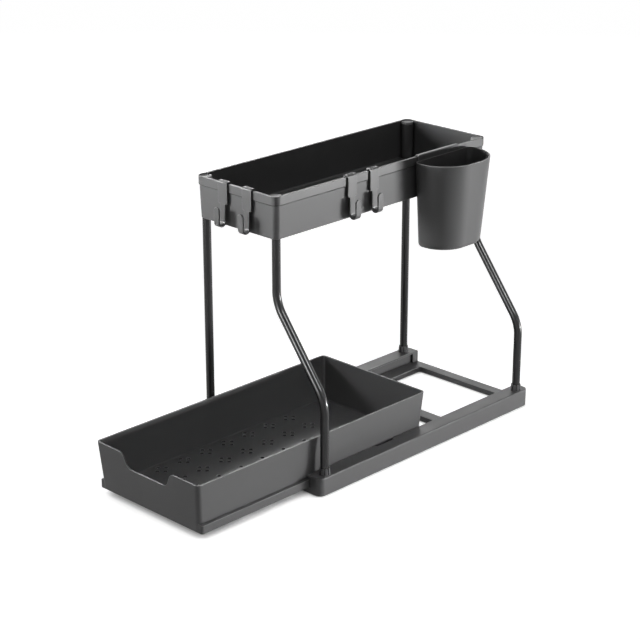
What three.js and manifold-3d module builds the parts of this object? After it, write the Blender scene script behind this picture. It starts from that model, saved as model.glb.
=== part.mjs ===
// Two-tier pull-out organiser: a moulded base with two side rails, a drawer that slides in them,
// four steel tube legs, an upper tray, four over-rim hooks and a hang-on cup.
// Millimetres, +Z up, +X towards the cup, -Y towards the front of the drawer.
import * as THREE from 'three';
import { mergeVertices } from 'three/addons/utils/BufferGeometryUtils.js';
import Module from 'manifold-3d';

const wasm = await Module();
wasm.setup();

// Drawer
const DRAWER_WIDTH = 170;
const DRAWER_LENGTH = 365;
const DRAWER_HEIGHT = 58;
const DRAWER_WALL = 2.2;
const DRAWER_FLOOR = 2.4;
const DRAWER_CORNER = 6;
const DRAWER_LEAN = 4.5;
const DRAWER_PULL = 167;
const RUNNER_HEIGHT = 11;
const RUNNER_CHAMFER = 1.5;
const TOE_CORNER = 3;
const NOTCH_WIDTH = 86;
const NOTCH_FLAT = 58;
const NOTCH_DEPTH = 18;
const DRAIN_HOLE = 5;
const DRAIN_SPREAD = 6.6;
const DRAIN_PITCH_ACROSS = 33;
const DRAIN_PITCH_ALONG = 34.5;
const DRAIN_SIDE_MARGIN = 2.5;
const DRAIN_END_MARGIN = 65;

// Tube legs and the slotted bushes round their feet
const LEG_DIAMETER = 10;
const LEG_WALL = 1;
const LEG_END_INSET = 15.75;
const BEND_RADIUS = 45;
const BEND_BELOW_TRAY = 76;
const BEND_ABOVE_RAIL = 88;
const BUSH_WALL = 1.5;
const BUSH_TIP = 0.7;
const BUSH_RISE = 8;
const BUSH_SLIT = 1.2;
const BUSH_SLIT_PAIRS = 4;

// Base
const FLOOR_THICKNESS = 6.5;
const LEDGE_WIDTH = 20;
const LIP_THICKNESS = 3;
const LIP_NOTCH_LENGTH = 30;
const LIP_NOTCH_PLACE = 127;
const RAIL_EDGE = 1.5;
const SOCKET_WALL = 1.35;
const SOCKET_FLOOR = 5;
const BASE_CORNER = 8;
const REAR_STOP = 10;
const END_BAR = 14;
const MIDDLE_BAR = 16;
const FLOOR_OPENINGS = 3;
const CORE_WALL = 2.4;
const CORE_POCKETS = 4;

// Rubber feet
const FOOT_DIAMETER = 12;
const FOOT_PROUD = 1.5;
const FOOT_SINK = 2;
const FOOT_EDGE = 0.8;
const FOOT_FROM_LEG = 22;

// Upper tray
const RACK_HEIGHT = 335;
const TRAY_WIDTH = 130;
const TRAY_HEIGHT = 50;
const TRAY_WALL = 2.2;
const TRAY_FLOOR = 2.2;
const TRAY_CORNER = 8;
const TRAY_LEAN = 1.4;
const RIM_BAND = 10;
const RIM_PROUD = 0.8;
const POST_INSET = 8.25;
const POST_WALL = 2.5;
const POST_SHOULDER = 5;

// Plugs that close the tray's corner posts
const PLUG_HEAD = 14.6;
const PLUG_RIM = 1.4;
const PLUG_DISH = 0.5;
const PLUG_HEAD_HEIGHT = 2;
const PLUG_BELOW_RIM = 1;
const PLUG_SPIGOT_LENGTH = 12;
const PLUG_EDGE = 0.6;

// Over-rim hooks, with their places along the tray's front and right sides
const HOOK_WIDTH = 14.5;
const HOOK_THICKNESS = 2;
const HOOK_RETURN = 9;
const HOOK_PLATE = 24;
const HOOK_DROP = 50;
const HOOK_MOUTH = 8;
const HOOK_TONGUE = 8;
const HOOK_PRONG = 24;
const HOOK_WINDOW = 9;
const HOOK_WINDOW_GAP = 1.4;
const FRONT_HOOKS_FROM_LEFT = [47, 86];
const SIDE_HOOKS_FROM_FRONT = [120, 157];

// Cup
const CUP_WIDTH = 103;
const CUP_DEPTH = 55;
const CUP_HEIGHT = 106;
const CUP_WALL = 1.8;
const CUP_FLOOR = 2.2;
const CUP_BELOW_RIM = 5;
const CUP_BACK_CORNER = 9;
const CUP_SQUARENESS = 2.6;
const CUP_NARROWING = 0.16;
const CUP_EDGE = 6;
const CUP_FROM_REAR = 84;
const CUP_CLIP_WIDTH = 73;
const CUP_CLIP_ASIDE = -6;
const CUP_CLIP_THICKNESS = 1.3;
const CUP_CLIP_RETURN = 10;

// Clearances
const FIT = 0.2;
const SEAT = 0.3;
const RUNNER_LIFT = 0.4;
const RUNNER_HEADROOM = 0.6;
const RUNNER_SIDE = 1;
const LIP_SIDE = 0.8;

// How finely round shapes are faceted
const CORNER_STEPS = 3;
const TUBE_STEPS = 8;
const BEND_STEPS = 7;
const ROUND_SIDES = 24;
const HOLE_SIDES = 6;
const CUP_STEPS = 26;
const CUT = 5;

// Heights worked out from the sizes above
const baseBottom = FOOT_PROUD;
const floorTop = baseBottom + FLOOR_THICKNESS;
const drawerBottom = floorTop + RUNNER_LIFT;
const lipBottom = drawerBottom + RUNNER_HEIGHT + RUNNER_HEADROOM;
const railTop = lipBottom + LIP_THICKNESS;
const socketBottom = baseBottom + SOCKET_FLOOR;
const trayBottom = RACK_HEIGHT - TRAY_HEIGHT;
const plugSeat = RACK_HEIGHT - PLUG_BELOW_RIM - PLUG_HEAD_HEIGHT - SEAT;
const legTop = plugSeat - POST_SHOULDER;

// Widths and lengths worked out from the sizes above
const bushRadius = LEG_DIAMETER / 2 + FIT + BUSH_WALL;
const socketRadius = bushRadius + FIT;
const channelWall = DRAWER_WIDTH / 2 + RUNNER_SIDE;
const railWidth = 2 * (socketRadius + SOCKET_WALL);
const baseHalfWidth = channelWall + railWidth;
const baseLength = DRAWER_LENGTH + REAR_STOP;
const baseFront = -baseLength / 2;
const baseRear = baseLength / 2;
const footHalfWidth = DRAWER_WIDTH / 2 - DRAWER_LEAN;
const leanRate = DRAWER_LEAN / DRAWER_HEIGHT;
const runnerRoot = footHalfWidth - DRAWER_WALL / 2;
const lipEdge = footHalfWidth + leanRate * (railTop - drawerBottom) + LIP_SIDE;
const legX = channelWall + railWidth / 2;
const legY = baseLength / 2 - LEG_END_INSET;
const trayLeft = -legX - POST_INSET;
const trayRight = trayLeft + TRAY_WIDTH;
const trayLength = 2 * (legY + POST_INSET);
const trayMiddle = (trayLeft + trayRight) / 2;
const postRadius = LEG_DIAMETER / 2 + FIT + POST_WALL;
const rimThickness = TRAY_WALL + RIM_PROUD;
const rightLegTopX = trayRight - POST_INSET;
const legSpots = [
  { name: 'front_left', foot: -legX, top: -legX, y: -legY },
  { name: 'rear_left', foot: -legX, top: -legX, y: legY },
  { name: 'front_right', foot: legX, top: rightLegTopX, y: -legY },
  { name: 'rear_right', foot: legX, top: rightLegTopX, y: legY },
];

// Finishes
const charcoal = { color: 0x4b4b4c, roughness: 0.45, metalness: 0 };
const FINISHES = {
  moulding: charcoal,
  clip: { ...charcoal, roughness: 0.4 },
  steel: { color: 0x2c2c2e, roughness: 0.3, metalness: 0.6 },
  bush: { ...charcoal, roughness: 0.5 },
  plug: { color: 0x9a9a9a, roughness: 0.35, metalness: 0 },
  rubber: { color: 0x1a1a1a, roughness: 0.9, metalness: 0 },
};

// A closed solid from a geometry, with its shared corners merged and slivers of no area dropped.
function solid(geometry) {
  const bare = geometry.clone();
  bare.deleteAttribute('normal');
  bare.deleteAttribute('uv');
  const merged = mergeVertices(bare);
  const index = merged.index.array;
  const triangles = [];
  for (let i = 0; i < index.length; i += 3) {
    const [a, b, c] = [index[i], index[i + 1], index[i + 2]];
    if (a !== b && b !== c && c !== a) {
      triangles.push(a, b, c);
    }
  }
  return new wasm.Manifold(new wasm.Mesh({
    numProp: 3,
    vertProperties: new Float32Array(merged.attributes.position.array),
    triVerts: new Uint32Array(triangles),
  }));
}

// The geometry of a solid, with one flat normal to each face.
function geometryOf(body) {
  const mesh = body.getMesh();
  const geometry = new THREE.BufferGeometry();
  geometry.setAttribute('position', new THREE.BufferAttribute(new Float32Array(mesh.vertProperties), 3));
  geometry.setIndex(new THREE.BufferAttribute(new Uint32Array(mesh.triVerts), 1));
  const flat = geometry.toNonIndexed();
  flat.computeVertexNormals();
  return flat;
}

function part(name, geometry, finish) {
  const mesh = new THREE.Mesh(geometry, new THREE.MeshStandardMaterial(FINISHES[finish]));
  mesh.name = name;
  return mesh;
}

// A rectangle with rounded corners, centred on (x, 0).
function roundedRectangle(width, length, radius, x = 0) {
  const [left, right] = [x - width / 2, x + width / 2];
  const [front, rear] = [-length / 2, length / 2];
  const shape = new THREE.Shape();
  shape.absarc(right - radius, front + radius, radius, -Math.PI / 2, 0);
  shape.absarc(right - radius, rear - radius, radius, 0, Math.PI / 2);
  shape.absarc(left + radius, rear - radius, radius, Math.PI / 2, Math.PI);
  shape.absarc(left + radius, front + radius, radius, Math.PI, 1.5 * Math.PI);
  shape.closePath();
  return shape;
}

// A shape in plan, raised from one height to another.
function slab(shape, bottom, top) {
  const geometry = new THREE.ExtrudeGeometry(shape, {
    depth: top - bottom, bevelEnabled: false, curveSegments: CORNER_STEPS,
  });
  return geometry.translate(0, 0, bottom);
}

// A shape drawn in X and Z, run along Y from one place to another.
function bar(shape, front, rear, curveSegments = CORNER_STEPS) {
  const geometry = new THREE.ExtrudeGeometry(shape, {
    depth: rear - front, bevelEnabled: false, curveSegments,
  });
  return geometry.rotateX(Math.PI / 2).translate(0, rear, 0);
}

function outline(points) {
  return new THREE.Shape(points.map(([x, y]) => new THREE.Vector2(x, y)));
}

function block(x0, x1, y0, y1, z0, z1) {
  const geometry = new THREE.BoxGeometry(x1 - x0, y1 - y0, z1 - z0);
  return geometry.translate((x0 + x1) / 2, (y0 + y1) / 2, (z0 + z1) / 2);
}

function upright(radius, bottom, top, x = 0, y = 0, sides = ROUND_SIDES) {
  const geometry = new THREE.CylinderGeometry(radius, radius, top - bottom, sides);
  return geometry.rotateX(Math.PI / 2).translate(x, y, (bottom + top) / 2);
}

// Leans the walls of a shape in towards (x, 0), by rate for each millimetre below the top.
function lean(geometry, rate, top, x = 0) {
  const place = geometry.attributes.position;
  for (let i = 0; i < place.count; i += 1) {
    const inset = rate * (top - place.getZ(i));
    place.setX(i, place.getX(i) - inset * Math.sign(place.getX(i) - x));
    place.setY(i, place.getY(i) - inset * Math.sign(place.getY(i)));
  }
  return geometry;
}

// Places, evenly spaced about zero, that fit in a span.
function evenPlaces(span, pitch) {
  const count = Math.floor(span / pitch) + 1;
  return Array.from({ length: count }, (_, i) => (i - (count - 1) / 2) * pitch);
}

// The drawer, centred on the z axis, with its underside at z = 0.
function makeDrawer() {
  const middle = DRAWER_LENGTH / 2;
  const inside = DRAWER_CORNER - DRAWER_WALL;
  const shell = roundedRectangle(DRAWER_WIDTH, DRAWER_LENGTH, DRAWER_CORNER);
  const hollow = roundedRectangle(DRAWER_WIDTH - 2 * DRAWER_WALL, DRAWER_LENGTH - 2 * DRAWER_WALL, inside);
  const cavity = lean(slab(hollow, DRAWER_FLOOR, DRAWER_HEIGHT + CUT), leanRate, DRAWER_HEIGHT);
  let drawer = solid(lean(slab(shell, 0, DRAWER_HEIGHT), leanRate, DRAWER_HEIGHT));
  drawer = drawer.add(runnerToe(DRAWER_LEAN - middle)).subtract(solid(cavity));
  const [root, tip] = [runnerRoot, DRAWER_WIDTH / 2];
  for (const side of [-1, 1]) {
    const runner = outline([
      [side * root, 0], [side * tip, 0],
      [side * tip, RUNNER_HEIGHT - RUNNER_CHAMFER], [side * root, RUNNER_HEIGHT],
    ]);
    drawer = drawer.add(solid(bar(runner, DRAWER_CORNER - middle, middle)));
  }
  drawer = drawer.subtract(solid(handNotch(-middle)));
  const floorWidth = 2 * (footHalfWidth - DRAWER_WALL - DRAIN_SIDE_MARGIN);
  const reach = DRAIN_SPREAD + DRAIN_HOLE / 2;
  for (const x of evenPlaces(floorWidth - 2 * reach, DRAIN_PITCH_ACROSS)) {
    for (const y of evenPlaces(DRAWER_LENGTH - 2 * (DRAIN_END_MARGIN + reach), DRAIN_PITCH_ALONG)) {
      for (const [dx, dy] of [[1, 0], [-1, 0], [0, 1], [0, -1]]) {
        const hole = upright(DRAIN_HOLE / 2, -CUT, DRAWER_FLOOR + CUT,
          x + dx * DRAIN_SPREAD, y + dy * DRAIN_SPREAD, HOLE_SIDES);
        drawer = drawer.subtract(solid(hole));
      }
    }
  }
  return geometryOf(drawer);
}

// The runners' front ends, level with the foot of the front wall and rounded at their outer corners.
function runnerToe(front) {
  const [root, tip, reach] = [runnerRoot, DRAWER_WIDTH / 2, 2 * DRAWER_CORNER];
  const shoulder = RUNNER_HEIGHT - RUNNER_CHAMFER;
  const section = outline([
    [-tip, 0], [tip, 0], [tip, shoulder], [root, RUNNER_HEIGHT], [-root, RUNNER_HEIGHT], [-tip, shoulder],
  ]);
  const plan = slab(roundedRectangle(DRAWER_WIDTH, 2 * reach, TOE_CORNER), -CUT, RUNNER_HEIGHT + CUT);
  return solid(bar(section, front, front + reach)).intersect(solid(plan.translate(0, front + reach, 0)));
}

// The cutter for the hand notch in the drawer's front wall: a flat bottom with S-curved sides.
function handNotch(front) {
  const [bottom, top] = [DRAWER_HEIGHT - NOTCH_DEPTH, DRAWER_HEIGHT];
  const [half, flat] = [NOTCH_WIDTH / 2, NOTCH_FLAT / 2];
  const between = (half + flat) / 2;
  const shape = new THREE.Shape();
  shape.moveTo(-half, top + CUT);
  shape.lineTo(-half, top);
  shape.bezierCurveTo(-between, top, -between, bottom, -flat, bottom);
  shape.lineTo(flat, bottom);
  shape.bezierCurveTo(between, bottom, between, top, half, top);
  shape.lineTo(half, top + CUT);
  shape.closePath();
  return bar(shape, front - CUT, front + DRAWER_LEAN + DRAWER_WALL + CUT, TUBE_STEPS);
}

// One side rail in section: ledge, channel wall and the lip that holds the drawer's runner down.
function railOutline(side) {
  const shape = new THREE.Shape();
  const round = RAIL_EDGE * side;
  const outer = side * baseHalfWidth;
  shape.moveTo(side * (channelWall - LEDGE_WIDTH), baseBottom);
  shape.lineTo(outer, baseBottom);
  shape.lineTo(outer, railTop - RAIL_EDGE);
  shape.quadraticCurveTo(outer, railTop, outer - round, railTop);
  shape.lineTo(side * lipEdge, railTop);
  shape.lineTo(side * lipEdge, lipBottom);
  shape.lineTo(side * channelWall, lipBottom);
  shape.lineTo(side * channelWall, floorTop);
  shape.lineTo(side * (channelWall - LEDGE_WIDTH), floorTop);
  shape.closePath();
  return shape;
}

function makeBase() {
  const plan = roundedRectangle(2 * baseHalfWidth, baseLength, BASE_CORNER);
  const openingHalf = channelWall - LEDGE_WIDTH;
  const sides = [-1, 1];
  let base = solid(bar(railOutline(-1), baseFront, baseRear));
  base = base.add(solid(bar(railOutline(1), baseFront, baseRear)));
  const clear = baseLength - 2 * END_BAR - (FLOOR_OPENINGS - 1) * MIDDLE_BAR;
  const step = clear / FLOOR_OPENINGS + MIDDLE_BAR;
  const crossBar = (front, width) => solid(
    block(-openingHalf - CUT, openingHalf + CUT, front, front + width, baseBottom, floorTop));
  base = base.add(crossBar(baseFront, END_BAR)).add(crossBar(baseRear - END_BAR, END_BAR));
  for (let i = 1; i < FLOOR_OPENINGS; i += 1) {
    base = base.add(crossBar(baseFront + END_BAR - MIDDLE_BAR + i * step, MIDDLE_BAR));
  }
  for (const side of sides) {
    const [a, b] = [side * lipEdge, side * (channelWall + CORE_WALL)].sort((p, q) => p - q);
    const stop = block(a, b, baseRear - REAR_STOP + SEAT, baseRear, floorTop - FLOOR_THICKNESS / 2, railTop);
    base = base.add(solid(stop));
  }
  base = base.intersect(solid(slab(plan, baseBottom - CUT, railTop + CUT)));
  for (const side of sides) {
    base = base.subtract(lipNotch(side));
    for (const pocket of corePockets(side)) {
      base = base.subtract(pocket);
    }
    for (const end of sides) {
      const socket = upright(socketRadius, socketBottom, railTop + CUT, side * legX, end * legY);
      const recess = upright(FOOT_DIAMETER / 2 + FIT, baseBottom - CUT, baseBottom + FOOT_SINK,
        side * legX, end * (legY - FOOT_FROM_LEG));
      base = base.subtract(solid(socket)).subtract(solid(recess));
    }
  }
  return geometryOf(base);
}

// The short gap in a rail's lip, open down to the runner.
function lipNotch(side) {
  const [a, b] = [side * (lipEdge - CUT), side * channelWall].sort((p, q) => p - q);
  const middle = baseFront + LIP_NOTCH_PLACE;
  return solid(block(a, b, middle - LIP_NOTCH_LENGTH / 2, middle + LIP_NOTCH_LENGTH / 2,
    lipBottom - RUNNER_HEADROOM / 2, railTop + CUT));
}

// The hollows under a rail, parted by cross ribs, between the feet.
function corePockets(side) {
  const reach = legY - FOOT_FROM_LEG - FOOT_DIAMETER / 2 - FIT - CORE_WALL;
  const length = (2 * reach - (CORE_POCKETS - 1) * CORE_WALL) / CORE_POCKETS;
  const faces = [side * (channelWall + CORE_WALL), side * (baseHalfWidth - CORE_WALL)];
  const [a, b] = faces.sort((p, q) => p - q);
  return Array.from({ length: CORE_POCKETS }, (_, i) => {
    const front = -reach + i * (length + CORE_WALL);
    return solid(block(a, b, front, front + length, baseBottom - CUT, railTop - LIP_THICKNESS));
  });
}

// The path of a leg: straight up, or set over to one side by two equal bends.
class LegPath extends THREE.Curve {
  constructor(stations) {
    super();
    this.stations = stations;
  }

  blend(t, key, target) {
    const place = t * (this.stations.length - 1);
    const before = Math.min(Math.floor(place), this.stations.length - 2);
    return target.lerpVectors(this.stations[before][key], this.stations[before + 1][key], place - before);
  }

  getPoint(t, target = new THREE.Vector3()) {
    return this.blend(t, 'point', target);
  }

  getTangent(t, target = new THREE.Vector3()) {
    return this.blend(t, 'heading', target).normalize();
  }

  getUtoTmapping(u) {
    return u;
  }
}

// Where a leg's sections stand, from its foot to its top.
function legStations(foot, top, y) {
  const up = new THREE.Vector3(0, 0, 1);
  const [footEnd, topEnd] = [socketBottom + SEAT, legTop - SEAT];
  const stations = [{ point: new THREE.Vector3(foot, y, footEnd), heading: up }];
  if (top !== foot) {
    const [low, high] = [railTop + BEND_ABOVE_RAIL, trayBottom - BEND_BELOW_TRAY];
    const side = Math.sign(top - foot);
    const turn = Math.atan2(Math.abs(top - foot), high - low);
    const tangent = BEND_RADIUS * Math.tan(turn / 2);
    const sweep = (angle) => new THREE.Vector3(
      side * BEND_RADIUS * (1 - Math.cos(angle)), 0, BEND_RADIUS * Math.sin(angle));
    const heading = (angle) => new THREE.Vector3(side * Math.sin(angle), 0, Math.cos(angle));
    const lowStart = new THREE.Vector3(foot, y, low - tangent);
    const highEnd = new THREE.Vector3(top, y, high + tangent);
    const angles = Array.from({ length: BEND_STEPS + 1 }, (_, i) => (turn * i) / BEND_STEPS);
    for (const angle of angles) {
      stations.push({ point: sweep(angle).add(lowStart), heading: heading(angle) });
    }
    for (const angle of angles.reverse()) {
      stations.push({ point: highEnd.clone().sub(sweep(angle)), heading: heading(angle) });
    }
  }
  stations.push({ point: new THREE.Vector3(top, y, topEnd), heading: up });
  return stations;
}

function makeLeg({ foot, top, y }) {
  const stations = legStations(foot, top, y);
  const ring = new THREE.Shape().absarc(0, 0, LEG_DIAMETER / 2, 0, 2 * Math.PI);
  ring.holes.push(new THREE.Path().absarc(0, 0, LEG_DIAMETER / 2 - LEG_WALL, 0, 2 * Math.PI, true));
  return new THREE.ExtrudeGeometry(ring, {
    steps: stations.length - 1, extrudePath: new LegPath(stations), curveSegments: TUBE_STEPS,
  });
}

// The bush between a leg's foot and its socket, with its underside at z = 0. It tapers and is slotted
// where it stands above the rail.
function makeBush() {
  const height = railTop + BUSH_RISE - socketBottom - SEAT;
  const bore = LEG_DIAMETER / 2 + FIT;
  let bush = turned([
    [0, 0], [bushRadius, 0], [bushRadius, height - BUSH_RISE], [bore + BUSH_TIP, height], [0, height],
  ]);
  bush = bush.subtract(solid(upright(bore, -CUT, height + CUT)));
  for (let i = 0; i < BUSH_SLIT_PAIRS; i += 1) {
    const slit = block(-bushRadius - CUT, bushRadius + CUT, -BUSH_SLIT / 2, BUSH_SLIT / 2,
      height - BUSH_RISE + SEAT, height + CUT);
    bush = bush.subtract(solid(slit.rotateZ((i * Math.PI) / BUSH_SLIT_PAIRS)));
  }
  return geometryOf(bush);
}

// A rubber foot, turned about its own axis, standing on z = 0.
function makeFoot() {
  const radius = FOOT_DIAMETER / 2;
  const height = FOOT_PROUD + FOOT_SINK - SEAT;
  const profile = [[0, 0], [radius - FOOT_EDGE, 0], [radius, FOOT_EDGE], [radius, height], [0, height]];
  return geometryOf(turned(profile));
}

// A corner plug, turned about its own axis: a dished head at z = 0 and up, a spigot below.
function makePlug() {
  const head = PLUG_HEAD / 2;
  const spigot = LEG_DIAMETER / 2 - LEG_WALL - FIT;
  const profile = [
    [0, -PLUG_SPIGOT_LENGTH], [spigot - PLUG_EDGE, -PLUG_SPIGOT_LENGTH],
    [spigot, PLUG_EDGE - PLUG_SPIGOT_LENGTH], [spigot, 0], [head, 0],
    [head, PLUG_HEAD_HEIGHT - PLUG_EDGE], [head - PLUG_EDGE, PLUG_HEAD_HEIGHT],
    [head - PLUG_RIM, PLUG_HEAD_HEIGHT - PLUG_DISH], [0, PLUG_HEAD_HEIGHT - PLUG_DISH],
  ];
  return geometryOf(turned(profile));
}

// A profile of radius and height, from axis to axis, turned about Z.
function turned(profile) {
  const points = profile.map(([radius, height]) => new THREE.Vector2(radius, height));
  return solid(new THREE.LatheGeometry(points, ROUND_SIDES).rotateX(Math.PI / 2));
}

// The upper tray: leaning walls under a proud rim band, and a post for a leg in each corner.
function makeTray() {
  const skirt = roundedRectangle(
    TRAY_WIDTH - 2 * RIM_PROUD, trayLength - 2 * RIM_PROUD, TRAY_CORNER - RIM_PROUD, trayMiddle);
  const band = roundedRectangle(TRAY_WIDTH, trayLength, TRAY_CORNER, trayMiddle);
  const hollow = roundedRectangle(
    TRAY_WIDTH - 2 * rimThickness, trayLength - 2 * rimThickness, TRAY_CORNER - rimThickness, trayMiddle);
  const rate = TRAY_LEAN / TRAY_HEIGHT;
  const leaned = (shape, bottom, top) => solid(
    lean(slab(shape, bottom, top), rate, RACK_HEIGHT, trayMiddle));
  const body = leaned(skirt, trayBottom, RACK_HEIGHT);
  let tray = body.add(solid(slab(band, RACK_HEIGHT - RIM_BAND, RACK_HEIGHT)));
  tray = tray.subtract(leaned(hollow, trayBottom + TRAY_FLOOR, RACK_HEIGHT + CUT));
  for (const { top, y } of legSpots) {
    const post = solid(upright(postRadius, trayBottom, plugSeat, top, y));
    tray = tray.add(post.intersect(body));
  }
  const bore = LEG_DIAMETER / 2 + FIT;
  const spigotHole = LEG_DIAMETER / 2 - LEG_WALL;
  for (const { top, y } of legSpots) {
    tray = tray.subtract(solid(upright(bore, trayBottom - CUT, legTop, top, y)));
    tray = tray.subtract(solid(upright(spigotHole, legTop - CUT, plugSeat + CUT, top, y)));
    tray = tray.subtract(solid(upright(PLUG_HEAD / 2 + FIT, plugSeat, RACK_HEIGHT + CUT, top, y)));
  }
  return geometryOf(tray);
}

// A strip folded over the tray's rim. The rim's outer top edge runs along y at x = 0, z = 0,
// and the strip's plate hangs on the +x side of it.
function rimClip(width, thickness, returnDrop, plateDrop) {
  const [inner, outer] = [-rimThickness - SEAT, SEAT];
  const fold = outline([
    [inner - thickness, -returnDrop], [inner, -returnDrop], [inner, SEAT], [outer, SEAT],
    [outer, -plateDrop], [outer + thickness, -plateDrop], [outer + thickness, SEAT + thickness],
    [inner - thickness, SEAT + thickness],
  ]);
  return solid(bar(fold, -width / 2, width / 2));
}

// An over-rim hook: a wide plate with a narrow tongue below it that curls up into a round-ended prong.
function makeHook() {
  const [back, front] = [SEAT, SEAT + HOOK_THICKNESS];
  const curl = HOOK_MOUTH / 2;
  const middle = front + curl;
  const level = -HOOK_DROP + curl + HOOK_THICKNESS;
  const tip = -HOOK_DROP + HOOK_PRONG;
  const start = -HOOK_PLATE + HOOK_THICKNESS;
  const prong = [front + HOOK_MOUTH, front + HOOK_MOUTH + HOOK_THICKNESS];
  const shape = new THREE.Shape();
  shape.moveTo(back, start);
  shape.lineTo(front, start);
  shape.absarc(middle, level, curl, Math.PI, 2 * Math.PI);
  shape.lineTo(prong[0], tip);
  shape.lineTo(prong[1], tip);
  shape.absarc(middle, level, curl + HOOK_THICKNESS, 2 * Math.PI, Math.PI, true);
  shape.closePath();
  const half = HOOK_TONGUE / 2;
  const tongue = solid(bar(shape, -half, half));
  const round = new THREE.CylinderGeometry(half, half, HOOK_THICKNESS + 2 * CUT, ROUND_SIDES);
  round.rotateZ(Math.PI / 2).translate((prong[0] + prong[1]) / 2, 0, tip - half);
  const ends = solid(block(prong[0] - FIT, prong[1] + CUT, -half - CUT, half + CUT, tip - half, tip + CUT));
  const clip = rimClip(HOOK_WIDTH, HOOK_THICKNESS, HOOK_RETURN, HOOK_PLATE);
  const slot = block(-(rimThickness + HOOK_WINDOW_GAP) / 2, -(rimThickness - HOOK_WINDOW_GAP) / 2,
    -HOOK_WINDOW / 2, HOOK_WINDOW / 2, 0, HOOK_THICKNESS + CUT);
  return geometryOf(tongue.subtract(ends.subtract(solid(round))).add(clip).subtract(solid(slot)));
}

// The cup in plan: a flat back along y at x = 0, rounded back corners and a squared-off oval front.
function cupOutline(width, depth, corner) {
  const half = width / 2;
  const shape = new THREE.Shape();
  shape.absarc(corner, half - corner, corner, Math.PI / 2, Math.PI);
  shape.absarc(corner, corner - half, corner, Math.PI, 1.5 * Math.PI);
  const power = 2 / CUP_SQUARENESS;
  for (let i = 1; i < CUP_STEPS; i += 1) {
    const angle = (Math.PI * i) / CUP_STEPS - Math.PI / 2;
    const across = Math.sign(angle) * Math.abs(Math.sin(angle)) ** power;
    shape.lineTo(corner + (depth - corner) * Math.cos(angle) ** power, half * across);
  }
  shape.closePath();
  return shape;
}

// A cup-shaped body from one height up past z = 0, narrowing downwards, with a rounded bottom edge.
function cupBody(shape, bottom, edge) {
  const geometry = new THREE.ExtrudeGeometry(shape, {
    depth: -bottom - edge + CUT, curveSegments: CORNER_STEPS,
    bevelThickness: edge, bevelSize: edge, bevelOffset: -edge, bevelSegments: CORNER_STEPS,
  });
  geometry.translate(0, 0, bottom + edge);
  const place = geometry.attributes.position;
  for (let i = 0; i < place.count; i += 1) {
    const scale = 1 + (CUP_NARROWING * place.getZ(i)) / CUP_HEIGHT;
    place.setX(i, place.getX(i) * scale);
    place.setY(i, place.getY(i) * scale);
  }
  return geometry;
}

// The cup, hung on the rim: x = 0, z = 0 is the rim's outer top edge, as for a hook.
function makeCup() {
  const shell = cupOutline(CUP_WIDTH, CUP_DEPTH, CUP_BACK_CORNER);
  const hollow = cupOutline(CUP_WIDTH - 2 * CUP_WALL, CUP_DEPTH - 2 * CUP_WALL, CUP_BACK_CORNER - CUP_WALL);
  const above = solid(block(-CUP_DEPTH, 2 * CUP_DEPTH, -CUP_WIDTH, CUP_WIDTH, 0, CUP_HEIGHT));
  const inside = cupBody(hollow, CUP_FLOOR - CUP_HEIGHT, CUP_EDGE - CUP_WALL).translate(CUP_WALL, 0, 0);
  let cup = solid(cupBody(shell, -CUP_HEIGHT, CUP_EDGE)).subtract(above);
  cup = cup.subtract(solid(inside));
  cup = cup.translate([SEAT, 0, -CUP_BELOW_RIM]);
  const plate = CUP_BELOW_RIM + CUP_CLIP_RETURN;
  const clip = rimClip(CUP_CLIP_WIDTH, CUP_CLIP_THICKNESS, CUP_CLIP_RETURN, plate);
  return geometryOf(cup.add(clip.translate([0, CUP_CLIP_ASIDE, 0])));
}

function placed(mesh, x, y, z, turn = 0) {
  mesh.position.set(x, y, z);
  mesh.rotation.z = turn;
  return mesh;
}

// The frame: base, feet, legs, bushes, tray and plugs
const rack = new THREE.Group();
rack.name = 'pull_out_organiser';
rack.add(part('base_frame', makeBase(), 'moulding'));
for (const spot of legSpots) {
  const [sideX, endY] = [Math.sign(spot.foot), Math.sign(spot.y)];
  const foot = part(`foot_${spot.name}`, makeFoot(), 'rubber');
  const bush = part(`bush_${spot.name}`, makeBush(), 'bush');
  const plug = part(`plug_${spot.name}`, makePlug(), 'plug');
  rack.add(placed(foot, sideX * legX, endY * (legY - FOOT_FROM_LEG), 0));
  rack.add(placed(bush, spot.foot, spot.y, socketBottom + SEAT));
  rack.add(part(`leg_${spot.name}`, makeLeg(spot), 'steel'));
  rack.add(placed(plug, spot.top, spot.y, plugSeat + SEAT));
}
rack.add(part('upper_tray', makeTray(), 'moulding'));

// What slides out or lifts off: the drawer, the hooks and the cup
const drawer = part('drawer', makeDrawer(), 'moulding');
rack.add(placed(drawer, 0, baseFront - DRAWER_PULL + DRAWER_LENGTH / 2, drawerBottom));
FRONT_HOOKS_FROM_LEFT.forEach((along, i) => {
  const hook = part(`hook_front_${i + 1}`, makeHook(), 'clip');
  rack.add(placed(hook, trayLeft + along, -trayLength / 2, RACK_HEIGHT, -Math.PI / 2));
});
SIDE_HOOKS_FROM_FRONT.forEach((along, i) => {
  const hook = part(`hook_side_${i + 1}`, makeHook(), 'clip');
  rack.add(placed(hook, trayRight, along - trayLength / 2, RACK_HEIGHT));
});
const cup = part('cup', makeCup(), 'moulding');
rack.add(placed(cup, trayRight, trayLength / 2 - CUP_FROM_REAR, RACK_HEIGHT));

// The origin is under the middle of the whole object, drawer out, on the surface that it stands on.
rack.position.y = DRAWER_PULL / 2;

export default rack;
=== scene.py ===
"""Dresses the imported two-tier pull-out organiser for its portrait.

Every piece is built again with rounded edges and moulded finishes, in the place of its CAD node. Pieces are
sized in millimetres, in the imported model's own frame, and become metres when they are made. The studio is
in metres.
"""

import logging
import math
from collections.abc import Iterable, Iterator, Sequence
from dataclasses import dataclass
from enum import Enum
from typing import Self

import bmesh
import bpy
from mathutils import Matrix, Vector


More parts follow.
